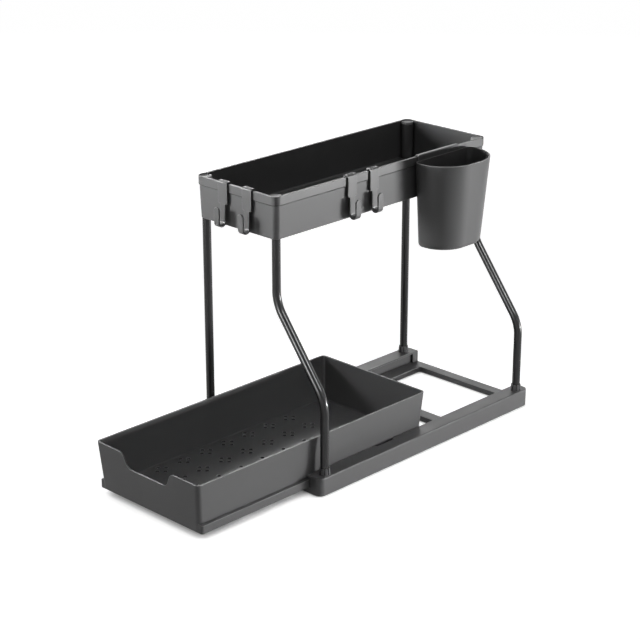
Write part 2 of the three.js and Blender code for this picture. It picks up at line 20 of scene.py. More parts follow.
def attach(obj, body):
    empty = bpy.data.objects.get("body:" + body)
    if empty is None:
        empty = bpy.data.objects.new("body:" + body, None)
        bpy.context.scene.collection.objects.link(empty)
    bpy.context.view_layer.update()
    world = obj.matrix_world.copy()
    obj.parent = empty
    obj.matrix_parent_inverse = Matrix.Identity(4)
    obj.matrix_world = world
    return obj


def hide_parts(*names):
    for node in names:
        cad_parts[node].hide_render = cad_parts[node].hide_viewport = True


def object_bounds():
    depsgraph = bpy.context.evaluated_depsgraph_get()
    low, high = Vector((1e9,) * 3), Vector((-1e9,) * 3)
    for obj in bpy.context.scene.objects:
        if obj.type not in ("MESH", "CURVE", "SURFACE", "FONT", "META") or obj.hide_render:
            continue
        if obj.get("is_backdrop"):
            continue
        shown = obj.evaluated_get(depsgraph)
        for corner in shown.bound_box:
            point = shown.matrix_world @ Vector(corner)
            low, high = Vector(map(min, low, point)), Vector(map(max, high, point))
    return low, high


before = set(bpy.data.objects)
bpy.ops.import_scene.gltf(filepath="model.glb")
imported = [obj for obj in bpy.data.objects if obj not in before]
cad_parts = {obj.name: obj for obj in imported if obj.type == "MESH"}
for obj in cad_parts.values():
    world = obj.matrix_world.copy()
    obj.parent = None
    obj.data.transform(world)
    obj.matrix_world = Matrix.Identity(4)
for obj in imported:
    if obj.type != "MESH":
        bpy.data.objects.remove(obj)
cad_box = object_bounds()
log = logging.getLogger("organiser")

Point = tuple[float, float]
Triple = tuple[float, float, float]

MM = 0.001
SHARP = math.radians(30)  # an edge that turns further is eased
CREASE = math.radians(50)  # an edge that turns further is shaded sharp
DOUBLE = 0.001  # points this close are one
NEAR = 0.01  # points this close count as in their place
HAIR = 0.1  # a margin round heights that are picked out
CLEAR = 5.0  # how far a cutter runs past what it cuts
# the mark of eased edges, which the finish lightens as wear and a painted highlight
EDGE_MARK = "worn_highlight"
ROUND = {"offset_type": "OFFSET", "profile": 0.5, "material": -1}

MIDDLE_Y = 83.5
LEG_X, LEG_Y = 94.25, 171.75  # from the middle of the base to a leg's foot
LEG_TOP_X = 56.75  # from the middle of the tray to a leg's top
PAD_FROM_LEG = 22.0
RAIL_TOP = 23.0
TRAY_X, TRAY_RIGHT, TRAY_TOP, TRAY_RIM = -37.5, 27.5, 335.0, 3.0
RIM_GAP = 0.3


class Body(Enum):
    """The bodies that pieces ride on. Each hook is a body of its own name."""

    FRAME = "frame"
    DRAWER = "drawer"
    CUP = "cup"


class Slot(Enum):
    """The record's material slots."""

    MOULDING = "moulding"
    HOOK = "hook_plastic"
    STEEL = "leg_steel"
    BUSH = "bush_plastic"
    PLUG = "plug_plastic"
    RUBBER = "foot_rubber"


class Joining(Enum):
    """How one solid is worked into another."""

    CUT = "DIFFERENCE"
    ADD = "UNION"
    MEET = "INTERSECT"


class Corner(Enum):
    """The rack's four corners, as signs of X and Y from the middle of its base."""

    FRONT_LEFT = (-1, -1)
    REAR_LEFT = (-1, 1)
    FRONT_RIGHT = (1, -1)
    REAR_RIGHT = (1, 1)

    @property
    def label(self) -> str:
        """The corner's name as the CAD nodes give it."""
        return self.name.lower()

    @property
    def foot(self) -> Point:
        """Where its leg stands in the base."""
        return self.value[0] * LEG_X, MIDDLE_Y + self.value[1] * LEG_Y

    @property
    def top(self) -> Point:
        """Where its leg ends in the tray."""
        return TRAY_X + self.value[0] * LEG_TOP_X, self.foot[1]

    @property
    def pad(self) -> Point:
        """Where the pad under the rail stands."""
        return self.foot[0], self.foot[1] - self.value[1] * PAD_FROM_LEG


def add_object(name: str, data: bpy.types.ID) -> bpy.types.Object:
    """Adds an object to the scene.

    Args:
        name: Its name.
        data: Its mesh, lamp or camera.

    Returns:
        The object.
    """
    thing = bpy.data.objects.new(name, data)
    bpy.context.scene.collection.objects.link(thing)
    return thing


def fillet(radius: float, along: float, steps: int = 4) -> list[Point]:
    """The ring steps of a quarter round, from running along a wall to running inwards.

    Args:
        radius: The round's radius.
        along: 1 or -1, the way that the wall runs along the face's normal.
        steps: How many rings the round gets.

    Returns:
        Pairs of inward and along distances for Solid.grow.
    """
    angles = [math.pi / 2 * i / steps for i in range(steps + 1)]
    return [
        (radius * (math.cos(a) - math.cos(b)), along * radius * (math.sin(b) - math.sin(a)))
        for a, b in zip(angles, angles[1:])
    ]


class Solid:
    """A solid in millimetres, grown and joined with mesh operators. Its steps return the solid itself."""

    def __init__(self) -> None:
        """Starts with nothing."""
        self.bm = bmesh.new()
        self.face: bmesh.types.BMFace | None = None

    @classmethod
    def outline(
        cls, points: Sequence[Sequence[float]], facing: Sequence[float],
        rounds: dict[float, Iterable[int]] | None = None, steps: int = 8,
    ) -> Self:
        """A flat face to grow from.

        Args:
            points: The outline's corners, in order.
            facing: The way that it grows.
            rounds: Corner radii, each with the indices of the corners that it rounds.
            steps: How many edges a round gets.

        Returns:
            The solid, open to growth.
        """
        solid = cls()
        corners = [solid.bm.verts.new(p) for p in points]
        solid.bm.faces.new(corners)
        for radius, indices in (rounds or {}).items():
            bmesh.ops.bevel(
                solid.bm, geom=[corners[i] for i in indices], offset=radius, segments=steps,
                affect="VERTICES", **ROUND)
        return solid.turned_to(facing)

    @classmethod
    def plan(
        cls, width: float, length: float, corner: float, middle: Point, z: float, up: bool = True
    ) -> Self:
        """A level rectangle with rounded corners, to grow from.

        Args:
            width: Its size along X.
            length: Its size along Y.
            corner: The corners' radius, or 0.
            middle: Its middle in X and Y.
            z: Its height.
            up: Whether it grows upwards.

        Returns:
            The solid, open to growth.
        """
        (x, y), w, h = middle, width / 2, length / 2
        points = [(x - w, y - h, z), (x + w, y - h, z), (x + w, y + h, z), (x - w, y + h, z)]
        return cls.outline(points, (0, 0, 1 if up else -1), {corner: range(4)} if corner else None)

    @classmethod
    def disc(cls, radius: float, middle: Point, z: float, sides: int = 40) -> Self:
        """A level disc, to grow upwards from.

        Args:
            radius: Its radius.
            middle: Its middle in X and Y.
            z: Its height.
            sides: How many sides it has.

        Returns:
            The solid, open to growth.
        """
        solid = cls()
        place = Matrix.Translation((*middle, z))
        bmesh.ops.create_circle(solid.bm, cap_ends=True, segments=sides, radius=radius, matrix=place)
        return solid.turned_to((0, 0, 1))

    @classmethod
    def block(cls, low: Triple, high: Triple, corner: float = 0.0) -> Self:
        """An upright block.

        Args:
            low: Its lowest corner.
            high: Its highest corner.
            corner: The radius of its upright edges, or 0.

        Returns:
            The closed solid.
        """
        middle = ((low[0] + high[0]) / 2, (low[1] + high[1]) / 2)
        solid = cls.plan(high[0] - low[0], high[1] - low[1], corner, middle, low[2])
        return solid.grow((0, high[2] - low[2])).close()

    @classmethod
    def post(cls, radius: float, middle: Point, low: float, high: float) -> Self:
        """An upright round post between two heights."""
        return cls.disc(radius, middle, low).grow((0, high - low)).close()

    @classmethod
    def turned(cls, profile: Sequence[Point], middle: Point, sides: int = 40) -> Self:
        """A turned solid.

        Args:
            profile: Radii and heights, in order. It closes on itself unless it starts on the axis.
            middle: The axis in X and Y.
            sides: How many sides it has.

        Returns:
            The closed solid.
        """
        solid = cls()
        verts = [solid.bm.verts.new((middle[0] + r, middle[1], z)) for r, z in profile]
        ends = verts[1:] + verts[:1] if profile[0][0] else verts[1:]
        edges = [solid.bm.edges.new(pair) for pair in zip(verts, ends)]
        bmesh.ops.spin(
            solid.bm, geom=verts + edges, cent=(*middle, 0), axis=(0, 0, 1), angle=2 * math.pi, steps=sides,
            use_merge=True, use_duplicate=False)
        bmesh.ops.remove_doubles(solid.bm, verts=solid.bm.verts[:], dist=DOUBLE)
        bmesh.ops.recalc_face_normals(solid.bm, faces=solid.bm.faces[:])
        return solid

    def turned_to(self, facing: Sequence[float]) -> Self:
        """Opens its one face to growth.

        Args:
            facing: The way that it grows.

        Returns:
            The solid itself.
        """
        self.face = self.bm.faces[:][0]
        self.face.normal_update()
        if self.face.normal.dot(facing) < 0:
            self.face.normal_flip()
        return self

    def grow(self, *steps: Point) -> Self:
        """Grows the open face ring by ring.

        Args:
            steps: How far each ring goes inwards, and along the face's normal.

        Returns:
            The solid itself.
        """
        for inward, along in steps:
            bmesh.ops.inset_individual(
                self.bm, faces=[self.face], thickness=inward, depth=along, use_even_offset=True)
        return self

    def lean(self, along: float, inward: float) -> Self:
        """Grows one ring and moves its four corners inwards, with their rounds as they are.

        Args:
            along: How far the ring goes along the normal.
            inward: How far its corners move in X and in Y.

        Returns:
            The solid itself.
        """
        self.grow((0, along))
        middle = self.face.calc_center_bounds()
        for sx, sy in (c.value for c in Corner):
            corner = [
                v for v in self.face.verts
                if sx * (v.co.x - middle.x) > 0 and sy * (v.co.y - middle.y) > 0
            ]
            bmesh.ops.translate(self.bm, vec=(-sx * inward, -sy * inward, 0), verts=corner)
        return self

    def narrow(self, along: float, factor: float, about: Point) -> Self:
        """Grows one ring straight along the normal and scales it about an upright axis.

        Args:
            along: How far the ring goes.
            factor: Its scale.
            about: The axis in X and Y.

        Returns:
            The solid itself.
        """
        self.grow((0, along))
        bmesh.ops.scale(
            self.bm, vec=(factor, factor, 1), verts=self.face.verts[:],
            space=Matrix.Translation((-about[0], -about[1], 0)))
        return self

    def bend(self, centre: Triple, axis: Triple, angle: float, steps: int = 14) -> Self:
        """Sweeps the open face round an axis, as a tube is bent.

        Args:
            centre: A point on the axis.
            axis: The axis's way.
            angle: How far it turns.
            steps: How many rings the bend gets.

        Returns:
            The solid itself.
        """
        geometry = [self.face, *self.face.edges, *self.face.verts]
        made = bmesh.ops.spin(
            self.bm, geom=geometry, cent=centre, axis=axis, angle=angle, steps=steps,
            use_merge=False, use_duplicate=False)
        self.face = next(g for g in made["geom_last"] if isinstance(g, bmesh.types.BMFace))
        self.face.normal_update()
        return self

    def close(self) -> Self:
        """Closes the side where the growth began, which is then the face to grow from.

        Returns:
            The solid itself.
        """
        rim = [e for e in self.bm.edges if e.is_boundary]
        self.face = bmesh.ops.contextual_create(self.bm, geom=rim)["faces"][0]
        self.face.normal_update()
        return self

    def hollow(self, wall: float) -> Self:
        """Opens the far end and turns the skin inwards into a wall."""
        bmesh.ops.delete(self.bm, geom=[self.face], context="FACES_ONLY")
        return self.worked("SOLIDIFY", thickness=wall, offset=-1.0, use_even_offset=True)

    def worked(self, kind: str, **settings: object) -> Self:
        """Runs one modifier over the solid and keeps the result.

        Args:
            kind: The modifier's type.
            settings: Its settings.

        Returns:
            The solid itself.
        """
        blank = self.as_object("blank")
        modifier = blank.modifiers.new(kind.lower(), kind)
        for key, value in settings.items():
            setattr(modifier, key, value)
        graph = bpy.context.evaluated_depsgraph_get()
        result = bpy.data.meshes.new_from_object(blank.evaluated_get(graph))
        self.bm.clear()
        self.bm.from_mesh(result)
        self.face = None
        bpy.data.meshes.remove(result)
        bpy.data.meshes.remove(blank.data)
        return self

    def joined(self, how: Joining, *tools: "Solid") -> Self:
        """Works other solids, which stand clear of each other, into this one.

        Args:
            how: The way that they are worked in.
            tools: The other solids.

        Returns:
            The solid itself.
        """
        shells = Solid()
        for tool in tools:
            shell = tool.as_object("shell").data
            shells.bm.from_mesh(shell)
            bpy.data.meshes.remove(shell)
        other = shells.as_object("tool")
        self.worked("BOOLEAN", object=other, operation=how.value, solver="EXACT")
        bpy.data.meshes.remove(other.data)
        bmesh.ops.dissolve_degenerate(self.bm, dist=NEAR, edges=self.bm.edges[:])
        return self

    def ease(self, width: float, spared: Point | None = None) -> Self:
        """Rounds the sharp outer edges and marks the rounds for the finish's edge wear and painted highlight.

        Args:
            width: The rounds' width.
            spared: Two heights, between which edges stay sharp.

        Returns:
            The solid itself.
        """
        self.bm.normal_update()
        sharp = [e for e in self.bm.edges if e.is_manifold and e.calc_face_angle_signed() > SHARP]
        if spared:
            low, high = spared
            sharp = [e for e in sharp if not all(low <= v.co.z <= high for v in e.verts)]
        worn_highlight = self.bm.faces.layers.float.new(EDGE_MARK)
        rounds = bmesh.ops.bevel(
            self.bm, geom=sharp, offset=width, segments=2, affect="EDGES", loop_slide=True,
            miter_outer="ARC", **ROUND)
        for face in rounds["faces"]:
            face[worn_highlight] = 1.0
        return self

    def as_object(self, name: str) -> bpy.types.Object:
        """Adds the solid to the scene as an object.

        Args:
            name: The object's name.

        Returns:
            The object.
        """
        mesh = bpy.data.meshes.new(name)
        self.bm.to_mesh(mesh)
        return add_object(name, mesh)


class Strip(Solid):
    """A folded strip: a line of folds in X and Z, drawn out along Y and given a thickness."""

    def __init__(self, line: Sequence[Point], columns: Sequence[float]) -> None:
        """Draws the line out into a sheet.

        Args:
            line: The folds' places in X and Z, from end to end.
            columns: The sheet's edges and its lines of division along Y.
        """
        super().__init__()
        verts = [self.bm.verts.new((x, columns[0], z)) for x, z in line]
        edges = [self.bm.edges.new(pair) for pair in zip(verts, verts[1:])]
        for before, after in zip(columns, columns[1:]):
            made = bmesh.ops.extrude_edge_only(self.bm, edges=edges)["geom"]
            fresh = [g for g in made if isinstance(g, bmesh.types.BMVert)]
            bmesh.ops.translate(self.bm, vec=(0, after - before, 0), verts=fresh)
            edges = [
                g for g in made
                if isinstance(g, bmesh.types.BMEdge) and all(v in fresh for v in g.verts)
            ]

    def _at(self, place: Point) -> list[bmesh.types.BMVert]:
        """The sheet's points at a place in X and Z."""
        return [v for v in self.bm.verts if math.dist((v.co.x, v.co.z), place) < NEAR]

    def trim(self, below: float, half: float) -> Self:
        """Takes away the sheet beside a narrow tongue.

        Args:
            below: The height below which it is narrow.
            half: Half the tongue's width.

        Returns:
            The strip itself.
        """
        middles = {f: f.calc_center_median() for f in self.bm.faces}
        waste = [f for f, m in middles.items() if m.z < below and abs(m.y) > half]
        bmesh.ops.delete(self.bm, geom=waste, context="FACES")
        return self

    def round_fold(self, place: Point, radius: float, steps: int) -> Self:
        """Rounds a fold.

        Args:
            place: The fold's place in X and Z.
            radius: The round's radius.
            steps: How many parts it gets.

        Returns:
            The strip itself.
        """
        verts = set(self._at(place))
        fold = [e for e in self.bm.edges if verts.issuperset(e.verts)]
        bmesh.ops.bevel(
            self.bm, geom=fold, offset=radius, segments=steps, affect="EDGES", clamp_overlap=True, **ROUND)
        return self

    def round_end(self, place: Point, half: float, radius: float, steps: int = 6) -> Self:
        """Rounds two corners of the sheet.

        Args:
            place: Their place in X and Z.
            half: How far they stand from the middle.
            radius: The rounds' radius.
            steps: How many parts each round gets.

        Returns:
            The strip itself.
        """
        ends = [v for v in self._at(place) if abs(abs(v.co.y) - half) < NEAR]
        bmesh.ops.bevel(
            self.bm, geom=ends, offset=radius, segments=steps, affect="VERTICES", clamp_overlap=True, **ROUND)
        return self

    def thicken(self, thickness: float) -> Self:
        """Gives the sheet its thickness, half to each side."""
        bmesh.ops.recalc_face_normals(self.bm, faces=self.bm.faces[:])
        return self.worked("SOLIDIFY", thickness=thickness, offset=0.0, use_even_offset=True)

    def placed(self, turn: float, place: Triple) -> Self:
        """Sets the strip in its place.

        Args:
            turn: How far it turns about Z.
            place: Where its rim line goes.

        Returns:
            The strip itself.
        """
        matrix = Matrix.Translation(place) @ Matrix.Rotation(turn, 4, "Z")
        bmesh.ops.transform(self.bm, matrix=matrix, verts=self.bm.verts[:])
        return self


def set_inputs(node: bpy.types.Node, inputs: dict[str | int, object]) -> None:
    """Gives a node's inputs their values.

    Args:
        node: The node.
        inputs: Values by the inputs' names or numbers. An output of another node is joined on.
    """
    for key, value in inputs.items():
        if isinstance(value, bpy.types.NodeSocket):
            node.id_data.links.new(value, node.inputs[key])
        else:
            node.inputs[key].default_value = value


def add_node(
    tree: bpy.types.NodeTree, kind: str, inputs: dict[str | int, object] | None = None, **settings: object
) -> bpy.types.Node:
    """Adds a shader node.

    Args:
        tree: The tree that it goes in.
        kind: Its type, without the leading ShaderNode.
        inputs: What set_inputs gives its inputs.
        settings: Its own settings.

    Returns:
        The node.
    """
    node = tree.nodes.new(f"ShaderNode{kind}")
    for key, value in settings.items():
        setattr(node, key, value)
    set_inputs(node, inputs or {})
    return node


def product(
    tree: bpy.types.NodeTree, first: bpy.types.NodeSocket, second: bpy.types.NodeSocket | float
) -> bpy.types.NodeSocket:
    """The product of two values in a tree."""
    return add_node(tree, "Math", {0: first, 1: second}, operation="MULTIPLY").outputs[0]


class NodeGroups:
    """The effects that several finishes share, each built once as a node group."""

    def __init__(self) -> None:
        """Builds the groups."""
        self.grain = self._grain()
        # edge wear with a painted highlight
        self.wear_and_highlight = self._wear_and_highlight()
        self.film = self._film()
        # painted shade in the piece's holes, grooves and inner corners
        self.painted_crevice_shade = self._painted_crevice_shade()

    @staticmethod
    def _group(
        name: str, inputs: Iterable[str], outputs: Iterable[str]
    ) -> tuple[bpy.types.NodeTree, bpy.types.NodeOutputs, bpy.types.Node]:
        """An empty group. Its sockets take numbers, but for Vector and Normal.

        Args:
            name: The group's name.
            inputs: Its inputs' names.
            outputs: Its outputs' names.

        Returns:
            The group's tree, what it is given, and the node that takes what it puts out.
        """
        tree = bpy.data.node_groups.new(name, "ShaderNodeTree")
        for way, labels in (("INPUT", inputs), ("OUTPUT", outputs)):
            for label in labels:
                kind = "NodeSocketVector" if label in ("Vector", "Normal") else "NodeSocketFloat"
                tree.interface.new_socket(label, in_out=way, socket_type=kind)
        return tree, tree.nodes.new("NodeGroupInput").outputs, tree.nodes.new("NodeGroupOutput")

    def _grain(self) -> bpy.types.NodeTree:
        """A fine spark-eroded grain, and a broad mottle from the flow of the moulding.

        Returns:
            The group's tree.
        """
        tree, given, end = self._group("mould grain", ("Vector", "Scale"), ("Height", "Mottle"))
        place, mottle_share = given["Vector"], 0.012
        fine = {"Vector": place, "Scale": given["Scale"], "Detail": 3.0, "Roughness": 0.6}
        broad = {"Vector": place, "Scale": product(tree, given["Scale"], mottle_share), "Detail": 4.0}
        for output, noise in (("Height", fine), ("Mottle", broad)):
            set_inputs(end, {output: add_node(tree, "TexNoise", noise).outputs["Fac"]})
        return tree

    def _wear_and_highlight(self) -> bpy.types.NodeTree:
        """A broken mask along eased edges, where handling polishes them and a painted highlight lightens
        them.

        Returns:
            The group's tree.
        """
        tree, given, end = self._group("edge wear", ("Vector", "Edge", "Amount"), ("Mask",))
        broken = add_node(tree, "TexNoise", {"Vector": given["Vector"], "Scale": 120.0, "Detail": 3.0})
        even = add_node(tree, "MapRange", {
            "Value": broken.outputs["Fac"], "From Min": 0.3, "From Max": 0.7, "To Min": 0.6})
        both = product(tree, given["Edge"], even.outputs["Result"])
        set_inputs(end, {"Mask": product(tree, both, given["Amount"])})
        return tree

    def _film(self) -> bpy.types.NodeTree:
        """A thin film of dust on what faces up.

        Returns:
            The group's tree.
        """
        tree, given, end = self._group("dust film", ("Vector", "Normal", "Amount"), ("Mask",))
        parts = add_node(tree, "SeparateXYZ", {0: given["Normal"]})
        level = add_node(tree, "MapRange", {"Value": parts.outputs["Z"], "From Min": 0.6})
        patches = add_node(tree, "TexNoise", {"Vector": given["Vector"], "Scale": 35.0, "Detail": 6.0})
        both = product(tree, level.outputs["Result"], patches.outputs["Fac"])
        set_inputs(end, {"Mask": product(tree, both, given["Amount"])})
        return tree

    def _painted_crevice_shade(self) -> bpy.types.NodeTree:
        """A painted shade mask: ambient occlusion darkens the piece's own holes, grooves and inner corners.

        Returns:
            The group's tree.
        """
        tree, given, end = self._group("painted_crevice_shade", ("Reach", "Amount"), ("Mask",))
        cover = add_node(tree, "AmbientOcclusion", {"Distance": given["Reach"]}, only_local=True)
        # painted shade: the less ambient occlusion lets through, the darker
        depth = add_node(tree, "MapRange", {"Value": cover.outputs["AO"], "From Min": 0.8, "From Max": 0.4})
        set_inputs(end, {"Mask": product(tree, depth.outputs["Result"], given["Amount"])})
        return tree


@dataclass(frozen=True)
class Finish:
    """One surface finish: its colour, its gloss and its fine detail, with painted shade in its crevices and
    wear with a painted highlight on its eased edges.
    """

    name: str
    colour: Triple
    # the grey of eased edges: wear and a painted highlight
    worn_highlight: float
    roughness: float
    spread: float = 0.05
    grain: float = 2600.0
    relief: float = 0.25
    grain_depth: float = 0.00005
    specular: float = 0.25
    # how strongly eased edges take the wear and painted highlight
    wear_and_highlight: float = 0.6
    film: float = 0.08
    dust: Triple = (0.5, 0.5, 0.49)
    # painted shade: how much, how far and how dark ambient occlusion darkens holes and grooves
    painted_crevice_shade: float = 0.85
    painted_shade_reach: float = 0.006
    painted_shade_grey: float = 0.01

    def material(self, groups: NodeGroups) -> bpy.types.Material:
        """The finish as a material.

        Args:
            groups: The shared node groups.

        Returns:
            A new material.
        """
        material = bpy.data.materials.new(self.name)
        material.use_nodes = True
        tree = material.node_tree
        place = add_node(tree, "TexCoord").outputs["Object"]
        edge = add_node(tree, "Attribute", attribute_name=EDGE_MARK).outputs["Fac"]
        normal = add_node(tree, "NewGeometry").outputs["Normal"]
        grain = add_node(tree, "Group", {"Vector": place, "Scale": self.grain}, node_tree=groups.grain)
        colour = (*self.colour, 1)
        for group, inputs, over in (
            # eased edges: wear and a painted highlight
            (groups.wear_and_highlight, {"Vector": place, "Edge": edge, "Amount": self.wear_and_highlight}, [self.worn_highlight] * 3),
            (groups.film, {"Vector": place, "Normal": normal, "Amount": self.film}, self.dust),
            # painted shade in holes, grooves and inner corners
            (groups.painted_crevice_shade, {"Reach": self.painted_shade_reach, "Amount": self.painted_crevice_shade}, [self.painted_shade_grey] * 3),
        ):
            mask = add_node(tree, "Group", inputs, node_tree=group).outputs["Mask"]
            mix = add_node(tree, "Mix", {"Factor": mask, "A": colour, "B": (*over, 1)}, data_type="RGBA")
            colour = mix.outputs["Result"]
        gloss = add_node(tree, "MapRange", {
            "Value": grain.outputs["Mottle"], "From Min": 0.3, "From Max": 0.7,
            "To Min": self.roughness - self.spread, "To Max": self.roughness + self.spread})
        bump = add_node(tree, "Bump", {
            "Height": grain.outputs["Height"], "Strength": self.relief, "Distance": self.grain_depth})
        set_inputs(tree.nodes["Principled BSDF"], {
            "Base Color": colour, "Roughness": gloss.outputs["Result"], "Normal": bump.outputs["Normal"],
            "Specular IOR Level": self.specular})
        return material


MOULDING = Finish("charcoal moulding", colour=(0.09, 0.09, 0.091), worn_highlight=0.3, roughness=0.4)
CLIP = Finish("charcoal clip", colour=(0.095, 0.095, 0.096), worn_highlight=0.3, roughness=0.36)
STEEL = Finish(
    "black coated tube", colour=(0.016, 0.016, 0.0165), worn_highlight=0.07, roughness=0.24, spread=0.03,
    grain=3800.0, relief=0.1, specular=0.34)
COLLAR = Finish("charcoal collar", colour=(0.09, 0.09, 0.091), worn_highlight=0.2, roughness=0.42)
CAP = Finish("pale cap", colour=(0.42, 0.42, 0.425), worn_highlight=0.5, roughness=0.5, relief=0.2, specular=0.15)
PAD = Finish(
    "black pad", colour=(0.02, 0.02, 0.02), worn_highlight=0.05, roughness=0.8, spread=0.08, grain=1400.0, relief=0.6)


class Workshop:
    """Makes finished pieces: it dresses solids and sets them on their bodies."""

    def __init__(self) -> None:
        """Makes every finish once."""
        groups = NodeGroups()
        self.materials = {f: f.material(groups) for f in (MOULDING, CLIP, STEEL, COLLAR, CAP, PAD)}

    def piece(self, solid: Solid, name: str, finish: Finish, body: str, slot: Slot, node: str) -> None:
        """Makes a piece of a solid and lets it stand for a CAD node.

        Args:
            solid: The shape, in millimetres.
            name: The piece's name.
            finish: Its finish.
            body: The body that it rides on.
            slot: The record's slot for its finish. It is not used.
            node: The CAD node that it stands for.
        """
        bmesh.ops.scale(solid.bm, vec=(MM, MM, MM), verts=solid.bm.verts[:])
        piece = solid.as_object(name)
        solid.bm.free()
        piece.data.shade_smooth()
        piece.data.set_sharp_from_angle(angle=CREASE)
        piece.data.materials.append(self.materials[finish])
        piece.modifiers.new("even shading", "WEIGHTED_NORMAL").keep_sharp = True
        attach(piece, body)
        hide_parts(node)
        log.info("%s stands for %s", name, node)


@dataclass
class Tray:
    """The upper tray: leaning walls under a proud rim band, with a post for a leg in each corner."""

    width: float = 130.0
    length: float = 360.0
    height: float = 50.0
    floor: float = 2.2
    floor_round: float = 2.5
    corner: float = 8.0
    lean: float = 1.4
    band: float = 10.0
    proud: float = 0.8
    line_depth: float = 1.2
    line_height: float = 1.3
    post_radius: float = 7.7
    leg_bore: float = 5.2
    cap_recess: float = 7.5
    cap_seat: float = 331.7
    cap_room: float = 12.0
    shoulder: float = 5.0
    shoulder_width: float = 1.2
    edge: float = 0.5

    def build(self) -> Solid:
        """The tray as one solid.

        Returns:
            The tray, with its rim and walls eased.
        """
        rate, skirt = self.lean / self.height, self.height - self.band
        tray = Solid.plan(self.width, self.length, self.corner, (TRAY_X, MIDDLE_Y), TRAY_TOP, up=False)
        tray.grow((0, self.band), (self.proud + self.line_depth, 0))
        tray.grow((0, self.line_height), (rate * self.band - self.line_depth, 0))
        tray.lean(skirt - self.line_height, rate * skirt).close()
        depth = self.height - self.floor - self.floor_round
        tray.grow((TRAY_RIM, 0)).lean(-depth, rate * depth).grow(*fillet(self.floor_round, -1))
        low = TRAY_TOP - self.height + self.floor / 2
        posts = [Solid.post(self.post_radius, c.top, low, self.cap_seat) for c in Corner]
        tray.joined(Joining.ADD, self._core(rate).joined(Joining.MEET, *posts))
        line_top = TRAY_TOP - self.band
        tray.ease(self.edge, (line_top - self.line_height - HAIR, line_top + HAIR))
        return tray.joined(Joining.CUT, *(self._bore(c.top) for c in Corner))

    def _core(self, rate: float) -> Solid:
        """The room within the middle of the walls, which the posts stay inside.

        Args:
            rate: How far the walls lean for each millimetre of height.

        Returns:
            The room as a solid.
        """
        inset = self.proud + (TRAY_RIM - self.proud) / 2
        width, length, corner = self.width - 2 * inset, self.length - 2 * inset, self.corner - inset
        core = Solid.plan(width, length, corner, (TRAY_X, MIDDLE_Y), TRAY_TOP, up=False)
        return core.lean(self.height, rate * self.height).close()

    def _bore(self, place: Point) -> Solid:
        """What a post is bored out by: the leg's seat, the cap's spigot hole and the recess for its head.

        Args:
            place: The post's middle in X and Y.

        Returns:
            The cutter.
        """
        low, spigot = TRAY_TOP - self.height, self.leg_bore - self.shoulder_width
        bore = Solid.disc(self.leg_bore, place, low - CLEAR)
        bore.grow((0, self.cap_seat - self.shoulder - low + CLEAR))
        bore.grow((self.leg_bore - spigot, 0), (0, self.shoulder))
        return bore.grow((spigot - self.cap_recess, 0), (0, self.cap_room)).close()

    def dress(self, shop: Workshop) -> None:
        """Makes the tray's piece."""
        shop.piece(self.build(), "tray_shell", MOULDING, Body.FRAME.value, Slot.MOULDING, "upper_tray")


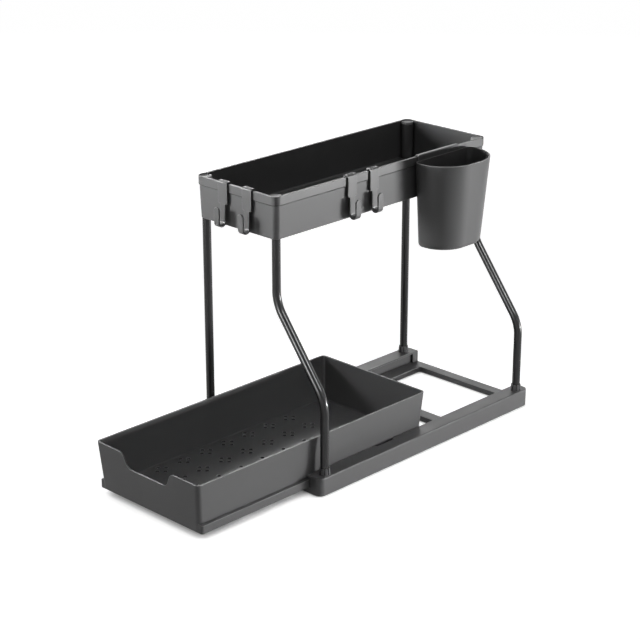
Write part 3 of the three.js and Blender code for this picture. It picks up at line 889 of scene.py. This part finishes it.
@dataclass
class Drawer:
    """The drawer: a leaning box with a hand notch, drain holes and a runner along each side."""

    width: float = 170.0
    length: float = 365.0
    height: float = 58.0
    bottom: float = 8.4
    middle_y: float = -88.5
    wall: float = 2.2
    floor: float = 2.4
    corner: float = 6.0
    lean: float = 4.5
    runner_height: float = 11.0
    runner_chamfer: float = 1.5
    toe_corner: float = 3.0
    toe_width: float = 18.0
    toe_length: float = 12.0
    floor_round: float = 1.6
    notch_width: float = 80.0
    notch_flat: float = 64.0
    notch_depth: float = 18.0
    notch_ease: float = 6.0
    notch_over: float = 0.3
    notch_wing: float = 30.0
    notch_rise: float = 9.0
    notch_out: float = 8.0
    notch_in: float = 6.0
    hole: float = 2.5
    hole_spread: float = 6.6
    hole_sides: int = 14
    hole_cut: float = 12.0
    across: float = 33.0
    along: float = 34.5
    columns_aside: int = 2
    rows_aside: int = 3
    edge: float = 0.4

    @property
    def top(self) -> float:
        """The height of the rim."""
        return self.bottom + self.height

    @property
    def front(self) -> float:
        """Where the rim of the front wall is along Y."""
        return self.middle_y - self.length / 2

    def build(self) -> Solid:
        """The drawer as one solid.

        Returns:
            The drawer, with its edges above the floor eased.
        """
        drawer = Solid.plan(self.width, self.length, self.corner, (0, self.middle_y), self.top, up=False)
        drawer.lean(self.height, self.lean).close()
        drawer.joined(Joining.ADD, self._runner(-1), self._runner(1))
        for cutter in (self._room(), self._hand_notch(), self._drains()):
            drawer.joined(Joining.CUT, cutter)
        return drawer.ease(self.edge, (0, self.bottom + self.floor))

    def _room(self) -> Solid:
        """The room inside the walls, rounded round its floor.

        Returns:
            The cutter.
        """
        across, along = self.width - 2 * self.wall, self.length - 2 * self.wall
        depth = self.height - self.floor - self.floor_round
        room = Solid.plan(across, along, self.corner - self.wall, (0, self.middle_y), self.top, up=False)
        room.lean(depth, self.lean * depth / self.height).grow(*fillet(self.floor_round, 1, steps=3))
        return room.close().grow((0, CLEAR))

    def _runner(self, side: int) -> Solid:
        """One runner, from a rounded corner under the front wall to the rear rim's line.

        Args:
            side: 1 or -1, the side along X.

        Returns:
            The runner, with a root that ends inside the walls.
        """
        root, tip = self.width / 2 - self.lean - self.wall / 2, self.width / 2
        front, rear = self.front + self.lean, self.front + self.length
        low, high, beyond = self.bottom, self.bottom + self.runner_height, tip + CLEAR
        inner, toe = tip - self.toe_width, front + self.toe_length
        fall = self.runner_chamfer * (beyond - root) / (tip - root)
        line = [
            (inner - CLEAR, low), (inner - CLEAR, high), (root, high), (beyond, high - fall), (beyond, low),
        ]
        bar = Solid.outline([(side * x, front - CLEAR, z) for x, z in line], (0, 1, 0))
        bar.grow((0, rear - front + 2 * CLEAR)).close()
        edge = [(tip, front), (tip, rear), (root, rear), (root, toe), (inner, toe), (inner, front)]
        plan = Solid.outline(
            [(side * x, y, low - CLEAR) for x, y in edge], (0, 0, 1), {self.toe_corner: (0,)})
        return bar.joined(Joining.MEET, plan.grow((0, self.runner_height + 2 * CLEAR)).close())

    def _hand_notch(self) -> Solid:
        """What the front wall's notch is cut with: a flat bottom, and sides that run out in S-curves.

        Returns:
            The cutter.
        """
        over, low = self.top + self.notch_over, self.top - self.notch_depth
        half, flat = self.notch_width / 2, self.notch_flat / 2
        wing, high = half + self.notch_wing, over + self.notch_rise
        right = [(wing, high), (wing, over), (half, over), (flat, low)]
        line = right + [(-x, z) for x, z in reversed(right)]
        points = [(x, self.front - self.notch_out, z) for x, z in line]
        cutter = Solid.outline(points, (0, 1, 0), {self.notch_ease: (2, 3, 4, 5)}, steps=10)
        return cutter.grow((0, self.notch_out + self.lean + self.wall + self.notch_in)).close()

    def _drains(self) -> Solid:
        """What the floor's drain holes are cut with: groups of four.

        Returns:
            The cutters as one solid.
        """
        cutters = Solid()
        for column in range(-self.columns_aside, self.columns_aside + 1):
            for row in range(-self.rows_aside, self.rows_aside + 1):
                for dx, dy in ((1, 0), (-1, 0), (0, 1), (0, -1)):
                    x = column * self.across + dx * self.hole_spread
                    y = self.middle_y + row * self.along + dy * self.hole_spread
                    bmesh.ops.create_cone(
                        cutters.bm, cap_ends=True, segments=self.hole_sides, radius1=self.hole,
                        radius2=self.hole, depth=self.hole_cut,
                        matrix=Matrix.Translation((x, y, self.bottom)))
        return cutters

    def dress(self, shop: Workshop) -> None:
        """Makes the drawer's piece."""
        shop.piece(self.build(), "drawer_shell", MOULDING, Body.DRAWER.value, Slot.MOULDING, "drawer")


@dataclass
class Base:
    """The base: two side rails with lips over the drawer's runners, cross bars, sockets and feet."""

    width: float = 205.0
    length: float = 375.0
    bottom: float = 1.5
    floor_top: float = 8.0
    lip_bottom: float = 20.0
    corner: float = 8.0
    rail_edge: float = 1.5
    channel: float = 86.0
    lip: float = 82.43
    rear_stop: float = 9.7
    rear_cut: float = 30.0
    past_end: float = 10.0
    above: float = 50.0
    opening_half: float = 66.0
    opening_length: float = 105.0
    opening_starts: tuple[float, ...] = (-90.0, 31.0, 152.0)
    opening_corner: float = 3.0
    opening_cut: float = 15.0
    notch_middle: float = 23.0
    notch_length: float = 30.0
    notch_in: float = 4.0
    socket: float = 6.9
    socket_bottom: float = 6.5
    core_wall: float = 2.4
    core_reach: float = 141.15
    core_count: int = 4
    foot_radius: float = 6.0
    foot_height: float = 3.2
    foot_chamfer: float = 0.8
    foot_edge: float = 0.2
    foot_gap: float = 0.2
    foot_recess: float = 2.0
    edge: float = 0.45

    @property
    def ends(self) -> Point:
        """Where the base begins and ends along Y."""
        return MIDDLE_Y - self.length / 2, MIDDLE_Y + self.length / 2

    def build(self) -> Solid:
        """The base as one solid.

        Returns:
            The base, eased but for its underside and its sockets.
        """
        base = Solid.plan(self.width, self.length, self.corner, (0, MIDDLE_Y), self.bottom)
        base.grow((0, RAIL_TOP - self.bottom - self.rail_edge), *fillet(self.rail_edge, 1)).close()
        base.joined(Joining.CUT, self._slideway())
        _, rear = self.ends
        low = (-self.lip, rear - self.rear_cut, self.floor_top)
        base.joined(Joining.CUT, Solid.block(low, (self.lip, rear + self.past_end, self.above)))
        base.joined(Joining.CUT, *self._pockets()).ease(self.edge, (0, self.bottom + HAIR))
        return base.joined(Joining.CUT, *self._sockets())

    def _slideway(self) -> Solid:
        """What the drawer's way is cut with: an open bay with a channel under each lip.

        Returns:
            The cutter.
        """
        front, rear = self.ends
        left = [
            (-self.lip, self.above), (-self.lip, self.lip_bottom),
            (-self.channel, self.lip_bottom), (-self.channel, self.floor_top),
        ]
        line = left + [(-x, z) for x, z in reversed(left)]
        cutter = Solid.outline([(x, front - self.past_end, z) for x, z in line], (0, 1, 0))
        return cutter.grow((0, rear - self.rear_stop - front + self.past_end)).close()

    def _pockets(self) -> Iterator[Solid]:
        """The openings, lip gaps and cores, which all stand clear of each other.

        Yields:
            One cutter for each.
        """
        for start in self.opening_starts:
            high = (self.opening_half, start + self.opening_length, self.opening_cut)
            yield Solid.block((-self.opening_half, start, -CLEAR), high, self.opening_corner)
        span = (2 * self.core_reach - (self.core_count - 1) * self.core_wall) / self.core_count
        half = self.notch_length / 2
        for side in (-1, 1):
            near, far = sorted((side * (self.lip - self.notch_in), side * self.channel))
            low = (near, self.notch_middle - half, self.lip_bottom - CLEAR)
            yield Solid.block(low, (far, self.notch_middle + half, self.above))
            near, far = sorted(
                (side * (self.channel + self.core_wall), side * (self.width / 2 - self.core_wall)))
            for i in range(self.core_count):
                begin = MIDDLE_Y - self.core_reach + i * (span + self.core_wall)
                yield Solid.block((near, begin, -CLEAR), (far, begin + span, self.lip_bottom))

    def _sockets(self) -> Iterator[Solid]:
        """The legs' sockets and the recesses for the feet, which stay sharp.

        Yields:
            One cutter for each.
        """
        for corner in Corner:
            yield Solid.post(self.socket, corner.foot, self.socket_bottom, self.above)
            recess = self.foot_radius + self.foot_gap
            yield Solid.post(recess, corner.pad, -CLEAR, self.bottom + self.foot_recess)

    def foot(self, corner: Corner) -> Solid:
        """One rubber pad under a rail.

        Args:
            corner: The corner that it stands at.

        Returns:
            The pad.
        """
        radius, top, chamfer = self.foot_radius, self.foot_height, self.foot_chamfer
        profile = [(0, 0), (radius - chamfer, 0), (radius, chamfer), (radius, top), (0, top)]
        return Solid.turned(profile, corner.pad).ease(self.foot_edge)

    def dress(self, shop: Workshop) -> None:
        """Makes the base's piece and its four pads.

        Args:
            shop: The workshop.
        """
        shop.piece(self.build(), "base_shell", MOULDING, Body.FRAME.value, Slot.MOULDING, "base_frame")
        for corner in Corner:
            name = f"foot_{corner.label}"
            shop.piece(self.foot(corner), f"{name}_pad", PAD, Body.FRAME.value, Slot.RUBBER, name)


@dataclass
class Leg:
    """One tube leg with the slotted bush at its foot and the cap over its top."""

    corner: Corner
    radius: float = 5.0
    sides: int = 32
    wall: float = 1.0
    foot: float = 6.8
    top: float = 326.4
    low_bend: float = 111.0
    high_bend: float = 209.0
    bend_radius: float = 45.0
    bush_radius: float = 6.7
    bush_tip: float = 5.9
    bush_bore: float = 5.2
    bush_edge: float = 0.15
    bush_rise: float = 8.0
    slit: float = 1.2
    slit_from: float = 4.0
    slit_to: float = 10.0
    slit_rise: float = 0.3
    slits: int = 8
    cap_radius: float = 7.3
    cap_bottom: float = 332.0
    cap_height: float = 2.0
    cap_round: float = 0.6
    cap_shoulder: Point = (0.15, 0.2)
    cap_lip: float = 0.95
    cap_slope: float = 1.4
    cap_dish: float = 0.5
    spigot: float = 3.8
    spigot_length: float = 12.0

    def tube(self) -> Solid:
        """The tube, straight or set over by two equal bends.

        Returns:
            The tube, open at both ends.
        """
        (foot, y), (top, _) = self.corner.foot, self.corner.top
        tube = Solid.disc(self.radius, (foot, y), self.foot, self.sides)
        over, rise = foot - top, self.high_bend - self.low_bend
        if over > 0:
            turn = math.atan2(over, rise)
            tangent = self.bend_radius * math.tan(turn / 2)
            low, high = self.low_bend - tangent, self.high_bend + tangent
            tube.grow((0, low - self.foot))
            tube.bend((foot - self.bend_radius, y, low), (0, -1, 0), turn)
            tube.grow((0, math.hypot(over, rise) - 2 * tangent))
            tube.bend((top + self.bend_radius, y, high), (0, 1, 0), turn)
            tube.grow((0, self.top - high))
        else:
            tube.grow((0, self.top - self.foot))
        return tube.hollow(self.wall)

    def bush(self) -> Solid:
        """The bush, which tapers and is slotted above the rail.

        Returns:
            The bush.
        """
        tip = RAIL_TOP + self.bush_rise
        profile = [
            (self.bush_bore, self.foot), (self.bush_radius, self.foot), (self.bush_radius, RAIL_TOP),
            (self.bush_tip, tip), (self.bush_bore, tip),
        ]
        bush, slits, half = Solid.turned(profile, self.corner.foot), [], self.slit / 2
        for i in range(self.slits):
            low = (self.slit_from, -half, RAIL_TOP + self.slit_rise)
            slit = Solid.block(low, (self.slit_to, half, tip + CLEAR))
            turn = Matrix.Rotation(2 * math.pi * i / self.slits, 4, "Z")
            place = Matrix.Translation((*self.corner.foot, 0))
            bmesh.ops.transform(slit.bm, matrix=place @ turn, verts=slit.bm.verts[:])
            slits.append(slit)
        return bush.joined(Joining.CUT, *slits).ease(self.bush_edge)

    def cap(self) -> Solid:
        """The cap: a head with a raised rim and a dished middle, and a spigot in the tube.

        Returns:
            The cap.
        """
        head, seat, low = self.cap_radius, self.cap_bottom, self.cap_bottom - self.spigot_length
        crown, ease = seat + self.cap_height, self.cap_round
        inward, down = self.cap_shoulder
        profile = [
            (0, low), (self.spigot - ease, low), (self.spigot, low + ease), (self.spigot, seat),
            (head, seat), (head, crown - ease), (head - inward, crown - down), (head - ease, crown),
            (head - self.cap_lip, crown), (head - self.cap_slope, crown - self.cap_dish),
            (0, crown - self.cap_dish),
        ]
        return Solid.turned(profile, self.corner.top)

    def dress(self, shop: Workshop) -> None:
        """Makes the leg's three pieces.

        Args:
            shop: The workshop.
        """
        label, body = self.corner.label, Body.FRAME.value
        shop.piece(self.tube(), f"leg_{label}_tube", STEEL, body, Slot.STEEL, f"leg_{label}")
        shop.piece(self.bush(), f"bush_{label}_collar", COLLAR, body, Slot.BUSH, f"bush_{label}")
        shop.piece(self.cap(), f"plug_{label}_cap", CAP, body, Slot.PLUG, f"plug_{label}")


class Side(Enum):
    """The tray's sides that hooks hang on, with the turn from the side that faces the cup."""

    FRONT = -math.pi / 2
    RIGHT = 0.0


@dataclass
class Hook:
    """An over-rim hook: a wide plate folded over the rim, and a tongue that curls up into a prong."""

    name: str
    side: Side
    place: float
    width: float = 14.5
    tongue: float = 8.0
    thickness: float = 2.0
    back: float = 9.0
    plate: float = 24.0
    plate_corner: float = 1.2
    drop: float = 50.0
    mouth: float = 8.0
    prong: float = 24.0
    fold: float = 1.3
    window: float = 9.0
    window_gap: float = 1.4
    window_corner: float = 0.5
    window_low: float = -1.0
    tray_front: float = -96.5
    edge: float = 0.35

    def build(self) -> Solid:
        """The hook, folded up from a flat strip.

        Returns:
            The hook in its place.
        """
        half = self.thickness / 2
        inner, outer = -TRAY_RIM - RIM_GAP - half, RIM_GAP + half
        top, low = RIM_GAP + half, -self.drop + half
        reach = outer + self.mouth + self.thickness
        curl = (reach - outer) / 2 - NEAR
        line = [
            (inner, -self.back), (inner, top), (outer, top), (outer, -self.plate),
            (outer, low), (reach, low), (reach, -self.drop + self.prong),
        ]
        wide, slim = self.width / 2, self.tongue / 2
        strip = Strip(line, (-wide, -slim, slim, wide)).trim(-self.plate, slim)
        strip.round_fold(line[1], self.fold, steps=4).round_fold(line[2], self.fold, steps=4)
        strip.round_fold(line[4], curl, steps=8).round_fold(line[5], curl, steps=8)
        strip.round_end(line[6], slim, slim - HAIR).round_end(line[3], wide, self.plate_corner, steps=3)
        strip.thicken(self.thickness)
        middle, gap, span = -TRAY_RIM / 2, self.window_gap / 2, self.window / 2
        window = Solid.block(
            (middle - gap, -span, self.window_low), (middle + gap, span, top + CLEAR), self.window_corner)
        strip.joined(Joining.CUT, window).ease(self.edge)
        spots = {Side.RIGHT: (TRAY_RIGHT, self.place), Side.FRONT: (self.place, self.tray_front)}
        return strip.placed(self.side.value, (*spots[self.side], TRAY_TOP))

    def dress(self, shop: Workshop) -> None:
        """Makes the hook's piece."""
        shop.piece(self.build(), f"{self.name}_strip", CLIP, self.name, Slot.HOOK, self.name)


@dataclass
class Cup:
    """The cup: a flat back, an oval front, and a clip over the tray's rim."""

    back_x: float = 27.8
    middle_y: float = 179.5
    rim_z: float = 330.0
    width: float = 103.0
    depth: float = 55.0
    height: float = 106.0
    wall: float = 1.8
    floor: float = 2.2
    back_corner: float = 9.0
    front_round: float = 42.0
    narrowing: float = 0.16
    edge: float = 6.0
    clip_width: float = 73.0
    clip_aside: float = -6.0
    clip_thickness: float = 1.3
    clip_return: float = 10.0
    clip_corner: float = 3.0
    clip_fold: float = 0.9
    clip_sink: float = 0.03
    easing: float = 0.4

    def build(self) -> Solid:
        """The cup with its clip as one solid.

        Returns:
            The cup.
        """
        x, y, half, about = self.back_x, self.middle_y, self.width / 2, (self.back_x, self.middle_y)
        corners = [
            (x, y - half, self.rim_z), (x, y + half, self.rim_z),
            (x + self.depth, y + half, self.rim_z), (x + self.depth, y - half, self.rim_z),
        ]
        rounds = {self.back_corner: (0, 1), self.front_round: (2, 3)}
        cup = Solid.outline(corners, (0, 0, -1), rounds, steps=16)
        depth = self.height - self.edge
        cup.narrow(depth, 1 - self.narrowing * depth / self.height, about)
        cup.grow(*fillet(self.edge, 1, steps=5)).close()
        inner_edge = self.edge - self.wall
        depth = self.height - self.floor - inner_edge
        cup.grow((self.wall, 0)).narrow(-depth, 1 - self.narrowing * depth / self.height, about)
        cup.grow(*fillet(inner_edge, -1, steps=5)).ease(self.easing)
        return cup.joined(Joining.ADD, self._clip())

    def _clip(self) -> Strip:
        """The strip that folds from the cup's back over the rim.

        Returns:
            The strip in its place.
        """
        half, wide = self.clip_thickness / 2, self.clip_width / 2
        inner, outer = -TRAY_RIM - RIM_GAP - half, RIM_GAP + half + self.clip_sink
        top, low = RIM_GAP + half, self.rim_z - TRAY_TOP - self.clip_return
        line = [(inner, -self.clip_return), (inner, top), (outer, top), (outer, low)]
        strip = Strip(line, (-wide, wide))
        strip.round_fold(line[1], self.clip_fold, steps=4).round_fold(line[2], self.clip_fold, steps=4)
        strip.round_end(line[0], wide, self.clip_corner)
        strip.thicken(self.clip_thickness).ease(self.easing)
        return strip.placed(0.0, (TRAY_RIGHT, self.middle_y + self.clip_aside, TRAY_TOP))

    def dress(self, shop: Workshop) -> None:
        """Makes the cup's piece."""
        shop.piece(self.build(), "cup_shell", MOULDING, Body.CUP.value, Slot.MOULDING, "cup")


@dataclass(frozen=True)
class Lamp:
    """A softbox with a grid, which lets a full angle of `spread` degrees through.

    Without sheen it doesn't show in reflections, and without shading it shows only there.
    """

    name: str
    place: Triple
    aim: Triple
    size: Point
    spread: float
    power: float
    sheen: bool = True
    shading: bool = True

    def build(self) -> None:
        """Sets the lamp up."""
        data = bpy.data.lights.new(self.name, "AREA")
        data.shape = "RECTANGLE"
        data.size, data.size_y = self.size
        data.spread = math.radians(self.spread)
        data.energy = self.power
        lamp = add_object(self.name, data)
        lamp.location = self.place
        lamp.visible_glossy, lamp.visible_diffuse = self.sheen, self.shading
        lamp.rotation_euler = (Vector(self.aim) - Vector(self.place)).to_track_quat("-Z", "Y").to_euler()


LAMPS = (
    Lamp("left softbox", place=(-0.72, -0.80, 0.52), aim=(-0.04, -0.0965, 0.39), size=(0.36, 0.36),
         spread=35, power=1.15),
    Lamp("right softbox", place=(1.776, 1.449, 0.07), aim=(0.0, -0.15, 0.25), size=(0.68, 0.12),
         spread=46, power=4.35),
    Lamp("back strip", place=(-1.35, 1.5, 0.95), aim=(0.0, 0.0, 0.1), size=(0.9, 0.35),
         spread=180, power=4.0),
    Lamp("low strip", place=(-0.75, 0.5, 0.47), aim=(0.0, -0.25, 0.06), size=(0.35, 0.15),
         spread=40, power=0.15),
    Lamp("high strip", place=(1.486, 0.083, 1.2), aim=(0.057, 0.0, 0.05), size=(0.9, 0.12),
         spread=17, power=0.18, sheen=False),
    Lamp("right glint", place=(1.38, 0.083, 1.40), aim=(0.057, 0.083, 0.16), size=(0.3, 0.3),
         spread=180, power=17.0, shading=False),
    Lamp("front glint", place=(0.0, -1.28, 0.31), aim=(0.057, 0.083, 0.16), size=(0.24, 0.3),
         spread=180, power=10.0, shading=False),
)


@dataclass
class Studio:
    """The floor, the lamps, the white surround and the camera."""

    azimuth: float = 44.282
    elevation: float = 20.576
    distance: float = 2.21106
    aside: float = -0.05762
    aim_height: float = 0.137403
    lens: float = 103.51
    sensor: float = 36.0
    floor_size: float = 16.0
    floor_grey: float = 0.65

    def build(self) -> None:
        """Sets the whole studio up."""
        self._floor()
        self._surround()
        for lamp in LAMPS:
            lamp.build()
        self._camera()
        bpy.context.scene.view_settings.view_transform = "Standard"

    def _floor(self) -> None:
        """A white floor that keeps the object's shadow from the lamps, with a painted shadow where ambient
        occlusion dims its glow.
        """
        floor = Solid.plan(self.floor_size, self.floor_size, 0, (0, 0), 0).as_object("floor")
        material = bpy.data.materials.new("white floor")
        material.use_nodes = True
        tree = material.node_tree
        # painted shadow: the glow fades where ambient occlusion finds the object close
        cover = add_node(tree, "AmbientOcclusion", {"Distance": 0.05})
        glow_with_painted_shadow = add_node(tree, "MapRange", {"Value": cover.outputs["AO"], "From Max": 0.55, "To Max": 0.9})
        glow = product(tree, glow_with_painted_shadow.outputs["Result"], self._seen_rays(tree))
        set_inputs(tree.nodes["Principled BSDF"], {
            "Base Color": (self.floor_grey, self.floor_grey, self.floor_grey, 1), "Roughness": 0.9,
            "Specular IOR Level": 0.0, "Emission Color": (1, 1, 1, 1), "Emission Strength": glow})
        floor.data.materials.append(material)
        floor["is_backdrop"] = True

    @staticmethod
    def _seen_rays(tree: bpy.types.NodeTree) -> bpy.types.NodeSocket:
        """Picks the rays that show the surround: from the camera, by reflection or through glass.

        Args:
            tree: The tree that the nodes go in.

        Returns:
            A value of 1 for those rays and 0 for the others.
        """
        path = add_node(tree, "LightPath").outputs
        seen = path["Is Camera Ray"]
        for name in ("Is Glossy Ray", "Is Transmission Ray"):
            seen = add_node(tree, "Math", {0: seen, 1: path[name]}, operation="MAXIMUM").outputs[0]
        return seen

    def _surround(self) -> None:
        """A white surround that lights the object only a little."""
        world = bpy.data.worlds.new("surround")
        bpy.context.scene.world = world
        world.use_nodes = True
        tree = world.node_tree
        level = add_node(tree, "MapRange", {"Value": self._seen_rays(tree), "To Min": 0.15})
        set_inputs(tree.nodes["Background"], {"Color": (1, 1, 1, 1), "Strength": level.outputs["Result"]})

    def _camera(self) -> None:
        """The camera, at the photograph's angle."""
        a, e = math.radians(self.azimuth), math.radians(self.elevation)
        back = Vector((math.sin(a) * math.cos(e), -math.cos(a) * math.cos(e), math.sin(e)))
        aim = Vector((math.cos(a), math.sin(a), 0)) * self.aside + Vector((0, MIDDLE_Y * MM, self.aim_height))
        data = bpy.data.cameras.new("camera")
        data.lens, data.sensor_width = self.lens, self.sensor
        camera = add_object("camera", data)
        camera.location = aim + back * self.distance
        camera.rotation_euler = (-back).to_track_quat("-Z", "Y").to_euler()
        bpy.context.scene.camera = camera


def write_sizes() -> None:
    """Works out the CAD model's box and the visual model's box, and keeps neither.
    """
    boxes = {"cad": cad_box, "visual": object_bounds()}
    {name: [list(low), list(high)] for name, (low, high) in boxes.items()}


def main() -> None:
    """Builds the sub-assemblies in order, then the studio."""
    logging.basicConfig(level=logging.INFO, format="%(name)s: %(message)s")
    shop = Workshop()
    Base().dress(shop)
    for corner in Corner:
        Leg(corner).dress(shop)
    Tray().dress(shop)
    Drawer().dress(shop)
    for name, side, place in (
        ("hook_front_1", Side.FRONT, -55.5),
        ("hook_front_2", Side.FRONT, -16.5),
        ("hook_side_1", Side.RIGHT, 23.5),
        ("hook_side_2", Side.RIGHT, 60.5),
    ):
        Hook(name, side, place).dress(shop)
    Cup().dress(shop)
    Studio().build()
    write_sizes()


if __name__ == "__main__":
    main()
